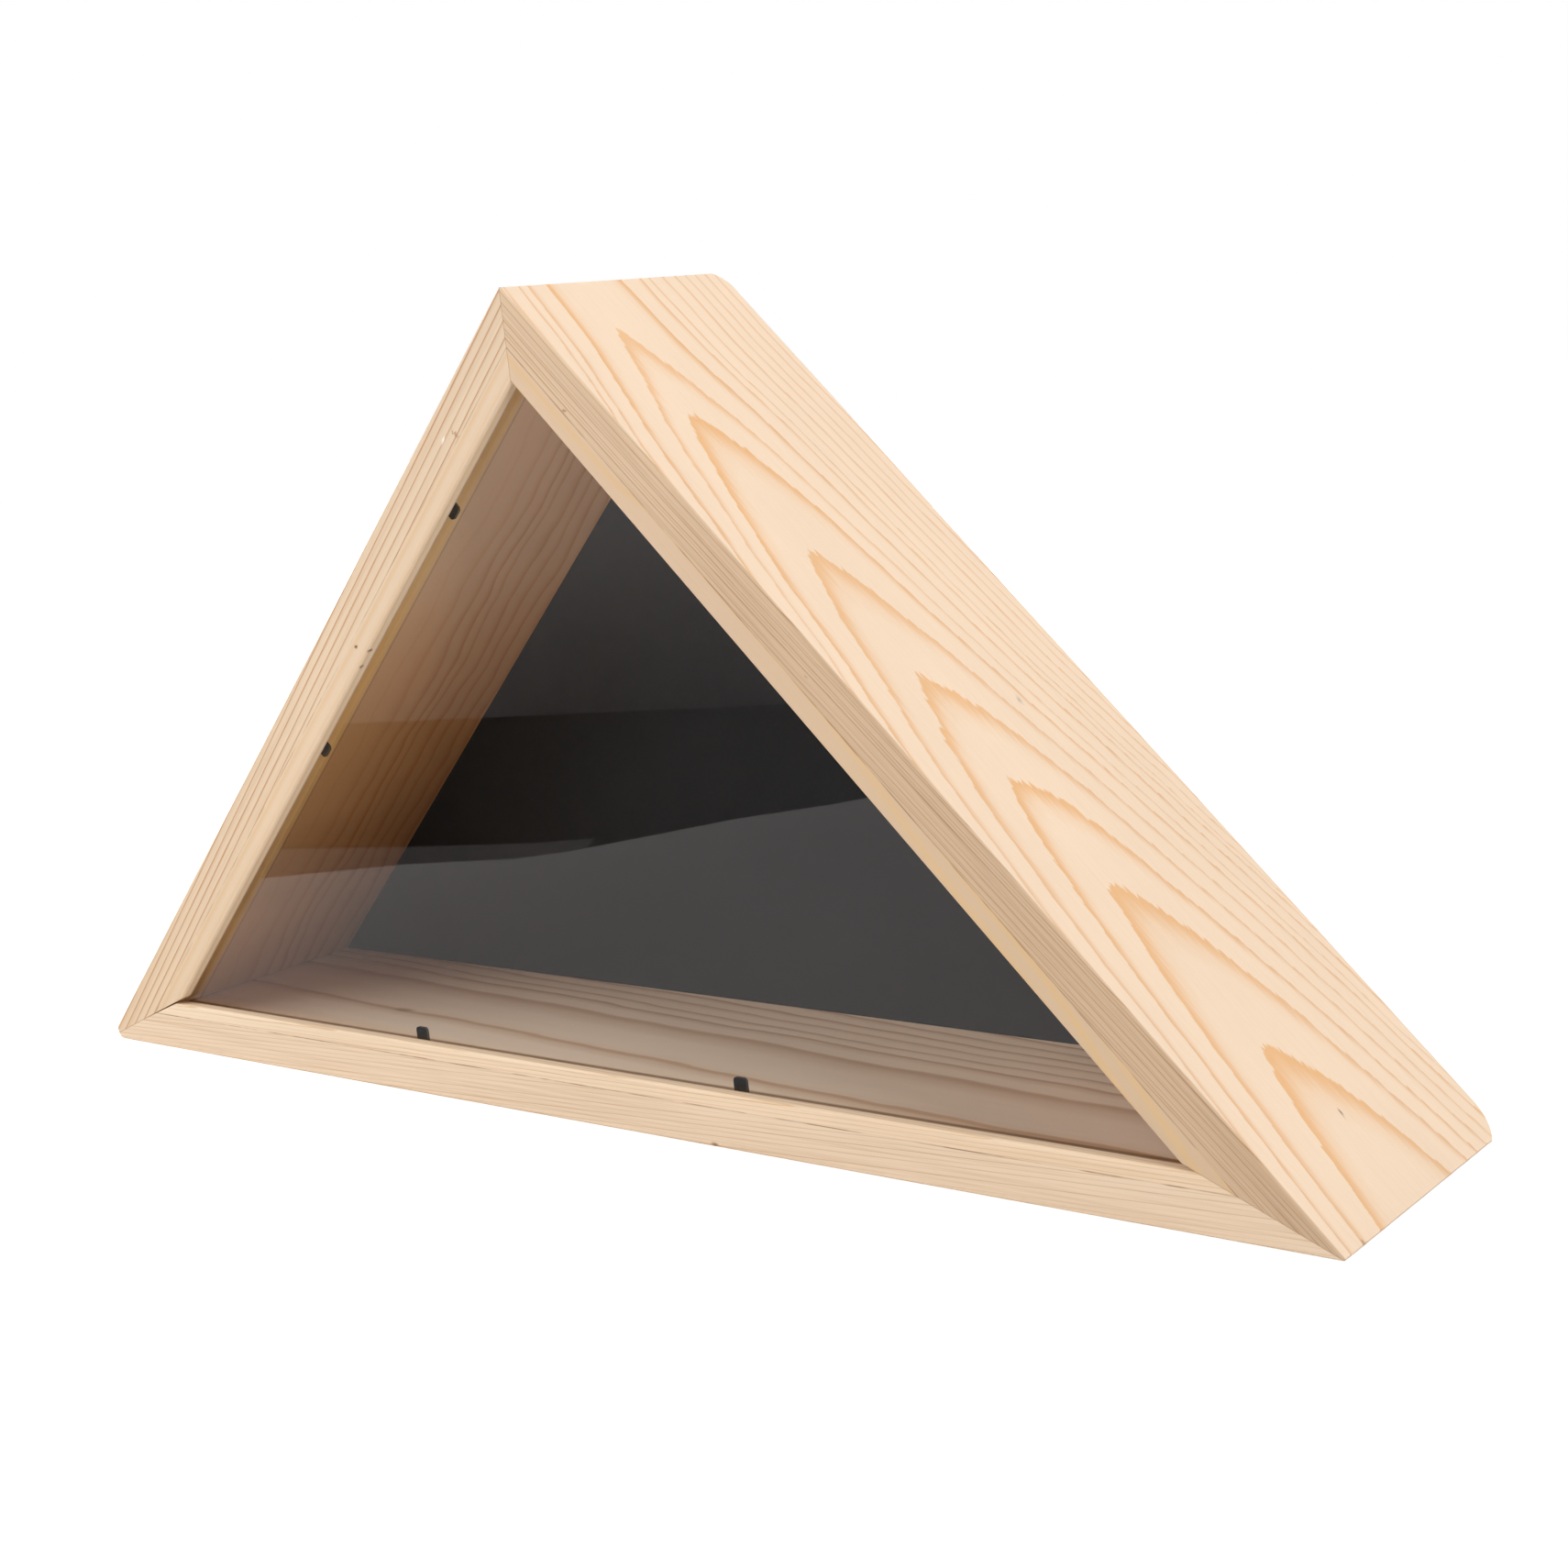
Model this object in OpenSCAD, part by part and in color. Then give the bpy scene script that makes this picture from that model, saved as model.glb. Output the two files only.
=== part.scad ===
// Folded flag display case: three mitred pine boards, each with a strip glued
// inside its front edge as a stop for the clear pane, and a back panel that
// lifts out once its turn buttons are swung clear.
// Millimetres, +Z up, front towards -Y, origin on the base face at mid depth.

/* [Case] */
// Width of the base between its sharp corners
case_width = 445; // [380:5:520]
// Front face to rear rim
case_depth = 83; // [70:1:110]
// Thickness of each board
wall = 10.8; // [10:0.1:13]

/* [Front strips] */
// Width of the strips on the two sloping boards
slope_strip = 6.2; // [4:0.1:9]
// Width of the strip on the bottom board
base_strip = 4.2; // [4:0.1:9]
// Thickness of the strips, front face to pane
strip_thick = 3.4; // [2.5:0.1:6]

/* [Worn edges] */
// Radius on the left tip, seen from the front
left_tip = 3; // [0.4:0.1:3]
// Radius on the right tip, seen from the front
right_tip = 0.4; // [0.4:0.1:3]
// Radius on the apex, seen from the front
apex_tip = 0.8; // [0.4:0.1:2]
// Radius on the rear corner of each base tip, seen from above
tip_corner = 9; // [4:1:9]
// Radius on the rear corner of the apex, seen from the side
apex_corner = 6; // [2:1:6]
// Radius on the outer edges of each board
outer_edge = 0.6; // [0.4:0.1:2]
// Radius on the front inner edge of each strip
strip_edge = 0.8; // [0.4:0.1:1.2]
// Widest part of the open joint between the left and bottom boards
open_mitre = 0.6; // [0.2:0.1:0.8]

/* [Pane] */
// Thickness of the clear pane
pane_thick = 2; // [1.5:0.1:3]
// Gap between the pane and the walls
pane_gap = 0.6; // [0.3:0.1:1]
// Corners nipped off the pane and the back panel
corner_nip = 2; // [1:0.5:5]

/* [Pane points] */
// Width of a point
point_width = 4.4; // [4:0.1:8]
// Thickness of a point
point_thick = 0.8; // [0.6:0.1:1.2]
// How far a point stands out of the wall
point_reach = 7.4; // [4:0.1:8]
// How far a point is driven into the wall
point_bite = 8; // [5:0.5:8.5]
// Radius on the free corners of a point
point_round = 1; // [0.5:0.1:1.5]
// Lower point on a sloping board, up the slope from its middle
slope_point_low = -1; // [-60:1:20]
// Upper point on a sloping board, up the slope from its middle
slope_point_high = 94; // [60:1:110]
// Left point on the bottom board, from its middle
base_point_left = -75; // [-130:1:-20]
// Right point on the bottom board, from its middle
base_point_right = 47; // [20:1:130]

/* [Back panel] */
// Thickness of the back panel
panel_thick = 5; // [4:0.1:5]
// Width of the step in each wall that the panel rests on
panel_step = 3.5; // [3:0.5:4]
// Gap between the panel and the step's side
panel_gap = 0.5; // [0.3:0.1:0.8]
// Panel's rear face to the rear rim
panel_sink = 0.8; // [0.6:0.1:1.5]

/* [Turn buttons] */
// Width of a button
button_width = 5; // [4.6:0.2:5.4]
// Thickness of a button
button_thick = 1; // [0.8:0.1:1.2]
// Pivot to the centre of a button's rounded end
button_span = 17; // [14:0.5:22]
// Pivot to the outer face of its board
pivot_inset = 4.9; // [4.4:0.1:5]
// Pivots on a sloping board, either side of its middle
slope_pivot = 70; // [40:1:90]
// Pivots on the bottom board, either side of its middle
base_pivot = 90; // [40:1:120]

/* [Fasteners] */
// Diameter of a screw's shank
screw_diameter = 2.2; // [2:0.1:2.4]
// Diameter of a screw's head
head_diameter = 4.2; // [4:0.1:4.6]
// Height of a screw's head
head_height = 1.2; // [1:0.1:1.4]
// Length of shank in the wood
screw_bite = 9; // [6:0.5:12]
// Length of each leg of a joining nail
nail_leg = 4; // [3:0.5:4.5]
// Depth of a joining nail
nail_depth = 10; // [6:1:15]
// Thickness of a joining nail
nail_thick = 0.6; // [0.5:0.1:0.8]
// Joining nail's vertex to the sharp base corner
base_nail_inset = 14; // [13:0.5:15]
// Joining nail's vertex to the sharp apex
apex_nail_inset = 8; // [7.5:0.5:8.5]

/* [Hidden] */
$fn = 64;
overcut = 1;
// A driven piece is this much larger than its hole, on each side
grip = 0.1;
// Radial room of a button on its screw, and room on each face of it
turn_fit = 0.08;
face_play = 0.1;
// Half of the spread between a joining nail's legs
nail_spread = 30;
// Conical end of a screw, its cross recess and the sphere its head is cut from
screw_point = 2.5;
cross_width = 0.7;
cross_depth = 0.8;
head_dome = 3.2;
// Floor of the nail pockets below the rear rim
nail_sink = 0.3;

// Depth of the open joint, and where it starts and ends along the mitre
open_depth = 9;
open_start = 21;
open_end = 44;

apex_angle = 90;
base_angle = 45;
apex_height = case_width / 2;
slope_length = case_width * cos(base_angle);
// All three mitres meet at this height above the base
mitre_height = apex_height * tan(base_angle / 2);
wedge_reach = 1.2;
front_y = -case_depth / 2;
rear_y = case_depth / 2;
pane_y = front_y + strip_thick;
point_y = pane_y + pane_thick;
panel_y = rear_y - panel_sink - panel_thick;
rim = wall - panel_step;
button_y = rear_y + face_play;
head_y = button_y + button_thick + face_play;

// Turns a flat outline in X and Z into a solid that starts at a given depth.
module along_depth(start, length) {
    translate([0, start + length, 0])
        rotate([90, 0, 0])
            linear_extrude(length) children();
}

// Every board is worked lying flat: X along it, Y its depth, Z inwards.
module on_left() {
    translate([-case_width / 4, 0, apex_height / 2])
        rotate([0, 180 - base_angle, 0]) children();
}

module on_right() {
    mirror([1, 0, 0]) on_left() children();
}

// A flat outline drawn from a corner's tip, with +X along the corner's mitre.
module at_left_corner() {
    translate([-case_width / 2, 0]) rotate(base_angle / 2) children();
}

module at_right_corner() {
    mirror([1, 0]) at_left_corner() children();
}

module at_apex() {
    translate([0, apex_height]) rotate(-90) children();
}

// Removes the square corner outside a quarter round.
module edge_cut(radius) {
    difference() {
        translate([-overcut, -overcut]) square(radius + overcut);
        translate([radius, radius]) circle(radius);
    }
}

// Section of a board: X inwards from its outer face, Y back from its front face.
module board_section() {
    difference() {
        square([wall, case_depth]);
        translate([rim, panel_y - front_y]) square([panel_step + overcut, case_depth]);
        edge_cut(outer_edge);
        translate([0, case_depth]) mirror([0, 1]) edge_cut(outer_edge);
    }
}

module strip_section(width) {
    translate([wall, 0])
        difference() {
            square([width, strip_thick]);
            translate([width, 0]) mirror([1, 0]) edge_cut(strip_edge);
        }
}

// Runs a section along X, past both ends of where it will be mitred.
module lengthwise(length) {
    translate([0, front_y, 0])
        rotate([0, -90, 0])
            linear_extrude(length + 2 * wall, center = true) children();
}

// Waste beyond a rounded tip, drawn from the sharp tip.
module tip_waste(half_angle, radius) {
    centre = radius / sin(half_angle);
    tangent = centre - radius * sin(half_angle);
    difference() {
        translate([-radius, -radius]) square([tangent + radius, 2 * radius]);
        translate([centre, 0]) circle(radius);
    }
}

module all_tip_waste() {
    at_left_corner() tip_waste(base_angle / 2, left_tip);
    at_right_corner() tip_waste(base_angle / 2, right_tip);
    at_apex() tip_waste(apex_angle / 2, apex_tip);
}

// Waste behind the rear corners of the two base tips and the apex.
module rear_corner_waste() {
    for (side = [0, 1])
        mirror([side, 0, 0])
            translate([case_width / 2, rear_y, -overcut])
                linear_extrude(tip_corner + wall)
                    rotate(180) edge_cut(tip_corner);
    translate([-wall, rear_y, apex_height])
        rotate([90, 0, 90])
            linear_extrude(2 * wall)
                rotate(180) edge_cut(apex_corner);
}

// Everything rounded off or slotted where the boards meet.
module corner_waste() {
    along_depth(front_y - overcut, case_depth + 2 * overcut) all_tip_waste();
    rear_corner_waste();
    all_nail_slots();
}

// Wedge between two mitres, carried past the outer face.
module mitre_wedge(first, second) {
    centre = [0, mitre_height];
    polygon([centre, centre + wedge_reach * (first - centre), centre + wedge_reach * (second - centre)]);
}

module left_wedge() {
    along_depth(front_y - overcut, case_depth + 2 * overcut)
        mitre_wedge([-case_width / 2, 0], [0, apex_height]);
}

module bottom_wedge() {
    along_depth(front_y - overcut, case_depth + 2 * overcut)
        mitre_wedge([-case_width / 2, 0], [case_width / 2, 0]);
}

module nail_outline(inset, thick) {
    for (side = [-1, 1])
        translate([inset, 0])
            rotate(side * nail_spread)
                translate([-nail_leg, -thick / 2]) square([nail_leg, thick]);
}

module all_nail_slots() {
    slot = nail_thick - 2 * grip;
    along_depth(rear_y - nail_sink - nail_depth, nail_depth + nail_sink + overcut) {
        at_left_corner() nail_outline(base_nail_inset, slot);
        at_right_corner() nail_outline(base_nail_inset, slot);
        at_apex() nail_outline(apex_nail_inset, slot);
    }
}

module point_slot(along) {
    translate([along, 0, wall - point_bite])
        along_depth(point_y + grip, point_thick - 2 * grip)
            translate([-point_width / 2, 0]) square([point_width, point_bite + overcut]);
}

module pilot_hole(along) {
    translate([along, rear_y - screw_bite, pivot_inset])
        rotate([-90, 0, 0]) cylinder(h = screw_bite + overcut, d = screw_diameter - 2 * grip);
}

module slope_work() {
    point_slot(-slope_point_low);
    point_slot(-slope_point_high);
    pilot_hole(-slope_pivot);
    pilot_hole(slope_pivot);
}

// Left board before its corners are worked.
module sloping_board() {
    difference() {
        intersection() {
            on_left() lengthwise(slope_length) board_section();
            left_wedge();
        }
        on_left() slope_work();
    }
}

// Sliver missing from the bottom board and its strip along the left mitre.
module open_sliver() {
    along_depth(front_y - overcut, open_depth + overcut)
        at_left_corner()
            polygon([[open_start, 0], [open_end, overcut], [open_end, -open_mitre]]);
}

module left_board() color("burlywood")
    difference() {
        sloping_board();
        corner_waste();
    }

module right_board() color("burlywood")
    difference() {
        mirror([1, 0, 0]) sloping_board();
        corner_waste();
    }

module bottom_board() color("burlywood") {
    difference() {
        intersection() {
            lengthwise(case_width) board_section();
            bottom_wedge();
        }
        corner_waste();
        open_sliver();
        point_slot(base_point_left);
        point_slot(base_point_right);
        pilot_hole(-base_pivot);
        pilot_hole(base_pivot);
    }
}

module left_strip() color("wheat") {
    intersection() {
        on_left() lengthwise(slope_length) strip_section(slope_strip);
        left_wedge();
    }
}

module right_strip() color("wheat") mirror([1, 0, 0]) left_strip();

module bottom_strip() color("wheat") {
    difference() {
        intersection() {
            lengthwise(case_width) strip_section(base_strip);
            bottom_wedge();
        }
        open_sliver();
    }
}

// The case's triangle drawn in by one distance all round, with nipped corners.
module inner_triangle(inset) {
    top = apex_height - inset / cos(base_angle);
    half = top - inset;
    polygon([[-half + corner_nip, inset], [half - corner_nip, inset],
        [half - corner_nip, inset + corner_nip], [corner_nip, top - corner_nip],
        [-corner_nip, top - corner_nip], [-half + corner_nip, inset + corner_nip]]);
}

module front_pane() color("lightcyan", 0.35)
    along_depth(pane_y, pane_thick) inner_triangle(wall + pane_gap);

module back_panel() color("dimgray")
    along_depth(panel_y, panel_thick) inner_triangle(rim + panel_gap);

// Flat tab, half driven into the wall and half standing over the pane.
module pane_point(along) color("black") {
    length = point_bite + point_reach;
    translate([along, 0, wall - point_bite])
        along_depth(point_y, point_thick) {
            translate([-point_width / 2, 0]) square([point_width, length - point_round]);
            translate([point_round - point_width / 2, 0])
                square([point_width - 2 * point_round, length]);
            for (side = [-1, 1])
                translate([side * (point_width / 2 - point_round), length - point_round])
                    circle(point_round);
        }
}

// Rounded strip lying on the rear rim, its free end towards +X or -X.
module turn_button(along, towards) color("silver") {
    translate([along, 0, pivot_inset])
        along_depth(button_y, button_thick)
            difference() {
                union() {
                    circle(d = button_width);
                    translate([towards * button_span, 0]) circle(d = button_width);
                    translate([towards * button_span / 2, 0])
                        square([button_span, button_width], center = true);
                }
                circle(screw_diameter / 2 + turn_fit);
            }
}

module pan_screw(along) color("gainsboro") {
    shank = screw_bite + head_y - rear_y;
    translate([along, head_y, pivot_inset])
        rotate([-90, 0, 0])
            difference() {
                union() {
                    rotate_extrude()
                        intersection() {
                            square([head_diameter / 2, head_height]);
                            translate([0, head_height - head_dome]) circle(head_dome);
                        }
                    translate([0, 0, screw_point - shank])
                        cylinder(h = shank - screw_point + overcut / 2, d = screw_diameter);
                    translate([0, 0, -shank])
                        cylinder(h = screw_point, d1 = screw_diameter / 4, d2 = screw_diameter);
                }
                for (turn = [0, 90])
                    rotate(turn)
                        translate([-head_diameter / 3, -cross_width / 2, head_height - cross_depth])
                            cube([head_diameter / 1.5, cross_width, cross_depth + overcut]);
            }
}

module joining_nail() color("silver")
    along_depth(rear_y - nail_sink - nail_depth, nail_depth) children();

module left_point_low() on_left() pane_point(-slope_point_low);
module left_point_high() on_left() pane_point(-slope_point_high);
module right_point_low() on_right() pane_point(-slope_point_low);
module right_point_high() on_right() pane_point(-slope_point_high);
module bottom_point_left() pane_point(base_point_left);
module bottom_point_right() pane_point(base_point_right);

module left_nail() joining_nail() at_left_corner() nail_outline(base_nail_inset, nail_thick);
module right_nail() joining_nail() at_right_corner() nail_outline(base_nail_inset, nail_thick);
module apex_nail() joining_nail() at_apex() nail_outline(apex_nail_inset, nail_thick);

// At rest the sloping boards' buttons hang down the slope and the bottom
// board's point outwards, all of them clear of the panel.
module left_button_low() on_left() turn_button(slope_pivot, 1);
module left_button_high() on_left() turn_button(-slope_pivot, 1);
module right_button_low() on_right() turn_button(slope_pivot, 1);
module right_button_high() on_right() turn_button(-slope_pivot, 1);
module bottom_button_left() turn_button(-base_pivot, -1);
module bottom_button_right() turn_button(base_pivot, 1);

module left_screw_low() on_left() pan_screw(slope_pivot);
module left_screw_high() on_left() pan_screw(-slope_pivot);
module right_screw_low() on_right() pan_screw(slope_pivot);
module right_screw_high() on_right() pan_screw(-slope_pivot);
module bottom_screw_left() pan_screw(-base_pivot);
module bottom_screw_right() pan_screw(base_pivot);

left_board();
right_board();
bottom_board();
left_strip();
right_strip();
bottom_strip();
front_pane();
back_panel();
left_point_low();
left_point_high();
right_point_low();
right_point_high();
bottom_point_left();
bottom_point_right();
left_nail();
right_nail();
apex_nail();
left_button_low();
left_button_high();
right_button_low();
right_button_high();
bottom_button_left();
bottom_button_right();
left_screw_low();
left_screw_high();
right_screw_low();
right_screw_high();
bottom_screw_left();
bottom_screw_right();
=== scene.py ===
import math
import bpy
import bmesh
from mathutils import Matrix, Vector

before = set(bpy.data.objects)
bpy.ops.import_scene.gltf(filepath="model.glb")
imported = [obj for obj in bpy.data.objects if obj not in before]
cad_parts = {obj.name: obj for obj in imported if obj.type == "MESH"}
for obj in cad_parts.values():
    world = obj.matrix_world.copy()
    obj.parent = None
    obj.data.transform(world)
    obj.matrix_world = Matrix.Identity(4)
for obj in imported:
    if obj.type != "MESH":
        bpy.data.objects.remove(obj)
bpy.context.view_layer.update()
scene = bpy.context.scene
scene.view_settings.view_transform = "Standard"


# sRGB hex, such as "F3DCC4", to the linear colour that nodes take
def linearColour(hexCode):
    channels = [int(hexCode[i:i + 2], 16) / 255 for i in (0, 2, 4)]
    return tuple(c / 12.92 if c <= 0.04045 else ((c + 0.055) / 1.055) ** 2.4 for c in channels) + (1.0,)


# adds one node: settings are its own properties, inputs are links (nodes or sockets) or plain values,
# and a Map Range takes "From" and "To" as pairs
def addNode(tree, kind, settings=None, inputs=None):
    node = tree.nodes.new("ShaderNode" + kind)
    for key, value in (settings or {}).items():
        if key == "stops":  # of a colour ramp: (position, grey)
            ramp = node.color_ramp.elements
            while len(ramp) < len(value):
                ramp.new(0.5)
            for element, (position, grey) in zip(ramp, value):
                element.position = position
                element.color = (grey, grey, grey, 1.0)
        elif key in ("points", "smoothPoints"):  # of a float curve, both ways from 0 to 1
            curve = node.mapping.curves[0]
            while len(curve.points) < len(value):
                curve.points.new(0.5, 0.5)
            for point, place in zip(curve.points, value):
                point.location = place
                point.handle_type = "VECTOR" if key == "points" else "AUTO_CLAMPED"
            node.mapping.update()
        else:
            setattr(node, key, value)
    for key, value in (inputs or {}).items():
        if key in ("From", "To"):
            for end, number in zip((" Min", " Max"), value):
                node.inputs[key + end].default_value = number
        elif isinstance(value, bpy.types.Node):
            tree.links.new(value.outputs[0], node.inputs[key])
        elif isinstance(value, bpy.types.NodeSocket):
            tree.links.new(value, node.inputs[key])
        else:
            node.inputs[key].default_value = value
    return node


def newMaterial(name):
    material = bpy.data.materials.new(name)
    material.use_nodes = True
    tree = material.node_tree
    tree.nodes.clear()
    return material, tree


def wearMaterial(material, *nodeNames):
    for nodeName in nodeNames:
        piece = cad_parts[nodeName]
        piece.data.materials.clear()
        piece.data.materials.append(material)


# sizes of the case in millimetres, as the solids have them
case = {
    "width": 445.0,
    "depth": 83.0,
    "wall": 10.8,
}
slopeLength = case["width"] * math.cos(math.radians(45))
frontY = -case["depth"] / 2

# the camera stands in front of the case and to its right
cameraSet = {
    "location": (0.45195, -0.46167, 0.20930),   # metres
    "turnDegrees": (78.9657, 4.9497, 34.9160),
    "lens": 54.155,                             # mm, as is the sensor
    "sensor": 36.0,
    "shift": (-0.15036, -0.01924),              # the frame is part of a wider view
    "nearest": 0.01,
}
cameraData = bpy.data.cameras.new("camera")
cameraData.sensor_width = cameraSet["sensor"]
cameraData.lens = cameraSet["lens"]
cameraData.shift_x, cameraData.shift_y = cameraSet["shift"]
cameraData.clip_start = cameraSet["nearest"]
camera = bpy.data.objects.new("camera", cameraData)
camera.location = cameraSet["location"]
camera.rotation_euler = [math.radians(a) for a in cameraSet["turnDegrees"]]
scene.collection.objects.link(camera)
scene.camera = camera
print("camera set")


# a value read off a line drawn through knots, (where, how much), with straight or rounded runs
def readOff(tree, value, knots, rounded=True):
    first, last = knots[0][0], knots[-1][0]
    low = min(much for where, much in knots)
    high = max(max(much for where, much in knots), low + 0.001)   # a level line needs some height too
    spot = addNode(tree, "MapRange", None, {"Value": value, "From": (first, last)})
    places = [((where - first) / (last - first), (much - low) / (high - low)) for where, much in knots]
    line = addNode(tree, "FloatCurve", {"smoothPoints" if rounded else "points": places}, {"Value": spot})
    return addNode(tree, "MapRange", None, {"Value": line, "To": (low, high)})


# how late in its year the wood at a growth value is: 0 is pale spring wood, 1 the dark line that ends a year
def lateWood(tree, growth, look):
    ends = look["yearEnds"]
    year = readOff(tree, growth, [(g, i) for i, g in enumerate(ends)], rounded=False)
    phase = addNode(tree, "Math", {"operation": "FRACT"}, {0: year})
    late = addNode(tree, "ValToRGB", {"stops": look["yearProfile"]}, {"Fac": phase})
    # some years are stronger than others: the ones listed, and the rest by chance
    count = addNode(tree, "Math", {"operation": "FLOOR"}, {0: year})
    luck = addNode(tree, "TexWhiteNoise", {"noise_dimensions": "1D"}, {"W": count})
    strength = addNode(tree, "MapRange", None, {
        "Value": luck.outputs["Value"], "To": (look["weakestYear"], 1.0)})
    for listed, amount in look["listedYears"].items():
        isListed = addNode(tree, "Math", {"operation": "COMPARE"}, {
            0: count, 1: float(listed), 2: 0.4})   # the same whole number
        strength = addNode(tree, "Mix", None, {"Factor": isListed, "A": strength, "B": amount})
    return addNode(tree, "Math", {"operation": "MULTIPLY"}, {0: late, 1: strength})


# Bare pine, planed and sanded: pale earlywood with orange latewood that darkens
# outwards through each year and stops sharply, dry and matt, with faint fibres.
# Lengths are in mm, and a pair says where something starts and where it is full or over.
pine = {
    "flamePoint": 7.0,               # half the width of a flame's sharpened tip
    "besideFlames": (6.0, 32.0),     # from the middle of the flames
    "edgeStarts": (0.7, 0.15),       # short of the front and rear edges
    "insideStarts": (0.5, 0.1),      # short of the inner face
    "stripEnds": (2.6, 3.4),         # behind the front, as the next four places are
    # a painted reflection band behind the pane, and the fine dark line at its edge
    "paintedReflectionEnds": (17.1, 17.6),
    "paintedReflectionTint": (1.22, 1.28, 0.92, 1.0),
    "bandLineAt": 17.9, "bandLineReach": 0.35, "bandLineShare": 0.3, "bandLineColour": "3A2414",
    # a painted shadow line behind the pane
    "shadowLineAt": 13.8, "shadowLineColour": "6E421E", "shadowLineReach": (0.5, 1.8),   # to each side, as the next reaches are
    "contactAt": (2.75, 3.15), "contactShadow": "85562F",
    "glueReach": (0.06, 0.24), "glueDepth": (0.3, 0.9), "glue": "8A6242",
    "glueNoise": {"Scale": 0.045, "Detail": 3.0, "Roughness": 0.6}, "glueSpan": (0.4, 0.62),
    "mitreReach": (0.04, 0.2), "mitreLine": "9A7350",
    "markReach": (0.2, 1.0),         # shares of a mark's size
    # patterns, in repeats for each mm along, back and inwards
    "cloudPerMm": (0.012, 0.05, 0.05), "cloudNoise": {"Scale": 1.0, "Detail": 3.0},
    "cloudTone": (0.975, 1.015),
    # fibres are about 0.04 mm wide, far too fine to show, so they are drawn 0.5 mm wide
    "fibrePerMm": (0.05, 1.9, 1.9), "fibreNoise": {"Scale": 1.0, "Detail": 4.0, "Roughness": 0.65},
    "bendNoise": {"Scale": 1.0, "Detail": 2.0, "Roughness": 0.5},
    "jagNoise": {"Scale": 1.0, "Detail": 3.0, "Roughness": 0.6},
    "finePerMm": 0.012,              # along; each piece has its own across
    "fineNoise": {"Scale": 1.0, "Detail": 2.0, "Roughness": 0.55}, "fineSpan": (0.45, 0.75),
    "noiseSpan": (0.3, 0.7),         # where most of a noise's values lie
    "noiseMiddle": (0.5, 0.5, 0.5),
    "roughness": (0.58, 0.72), "ior": 1.45, "specular": 0.3,
    "bumpStrength": 0.12, "bumpMetres": 0.0002, "fibreBump": 0.6,
}
boardLengths = {"left": slopeLength, "right": slopeLength, "bottom": case["width"]}
softly = {"interpolation_type": "SMOOTHSTEP"}


# places in mm: X along the board, Y back from its front face, Z inwards from its outer face
def placeOnBoard(tree, side):
    place = addNode(tree, "TexCoord")
    sloping = side != "bottom"
    return addNode(tree, "Mapping", None, {
        "Vector": place.outputs["Object"],
        "Location": (boardLengths[side] / 2, -frontY, slopeLength / 2 if sloping else 0.0),
        "Rotation": (0, math.radians(-135) if sloping else 0.0, 0),
        "Scale": (-1000.0 if side == "right" else 1000.0, 1000.0, 1000.0)})


# the grain wanders slowly, and its lines are jagged where the rings lie nearly flat to the face
def wanderingGrain(tree, lying, look):
    bent = lying
    for kind, seed in (("bend", look["seed"]), ("jag", (0, 0, 0))):
        wander = addNode(tree, "Mapping", None, {
            "Vector": lying, "Scale": look[kind + "Scale"], "Location": seed})
        wander = addNode(tree, "TexNoise", None, {"Vector": wander, **pine[kind + "Noise"]})
        wander = addNode(tree, "VectorMath", {"operation": "SUBTRACT"}, {
            0: wander.outputs["Color"], 1: pine["noiseMiddle"]})
        bent = addNode(tree, "VectorMath", {"operation": "MULTIPLY_ADD"}, {0: wander, 1: look[kind], 2: bent})
    return bent


# growth rises outwards from the heart of the tree: slowly beside the flames' axis, faster away from it
def growthRings(tree, grain, look):
    along, back, inwards = grain.outputs
    axis = readOff(tree, along, look["axis"])
    offAxis = addNode(tree, "Math", {"operation": "SUBTRACT"}, {0: back, 1: axis})
    rearwards = addNode(tree, "Math", {"operation": "MAXIMUM"}, {0: offAxis, 1: 0.0})
    rearwards = addNode(tree, "Math", {"operation": "POWER"}, {0: rearwards, 1: look["rearPower"]})
    forwards = addNode(tree, "Math", {"operation": "DIVIDE"}, {0: offAxis, 1: -look["frontReach"]})
    forwards = addNode(tree, "Math", {"operation": "MAXIMUM"}, {0: forwards, 1: 0.0})
    forwards = addNode(tree, "Math", {"operation": "POWER"}, {0: forwards, 1: look["frontPower"]})
    growth = addNode(tree, "Math", {"operation": "ADD"}, {0: rearwards, 1: forwards})
    offFlame = addNode(tree, "Math", {"operation": "ABSOLUTE"}, {0: offAxis})
    pointed = addNode(tree, "MapRange", softly, {
        "Value": offFlame, "From": (0.0, pine["flamePoint"]), "To": (-look["tipSharpness"], 0.0)})
    growth = addNode(tree, "Math", {"operation": "ADD"}, {0: growth, 1: pointed})
    climb = readOff(tree, along, look["climb"])
    growth = addNode(tree, "Math", {"operation": "SUBTRACT"}, {0: growth, 1: climb})
    growth = addNode(tree, "Math", {"operation": "MULTIPLY_ADD"}, {
        0: inwards, 1: -look["perInward"], 2: growth})
    return growth, offFlame


# the broad faces: away from the flames their lines are thinner, fainter and greyer
def faceWood(tree, growth, offFlame, look):
    late = lateWood(tree, growth, look)
    aside = addNode(tree, "MapRange", softly, {"Value": offFlame, "From": pine["besideFlames"]})
    thinner = addNode(tree, "MapRange", None, {"Value": aside, "To": (1.0, look["sideThinness"])})
    late = addNode(tree, "Math", {"operation": "POWER"}, {0: late, 1: thinner})
    fainter = addNode(tree, "MapRange", None, {"Value": aside, "To": (1.0, look["sideStrength"])})
    late = addNode(tree, "Math", {"operation": "MULTIPLY"}, {0: late, 1: fainter})
    lateColour = addNode(tree, "MixRGB", None, {
        "Fac": aside, "Color1": linearColour(look["late"]), "Color2": linearColour(look["sideLate"])})
    wood = addNode(tree, "MixRGB", None, {
        "Fac": late, "Color1": linearColour(look["early"]), "Color2": lateColour})
    return wood, late


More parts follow.
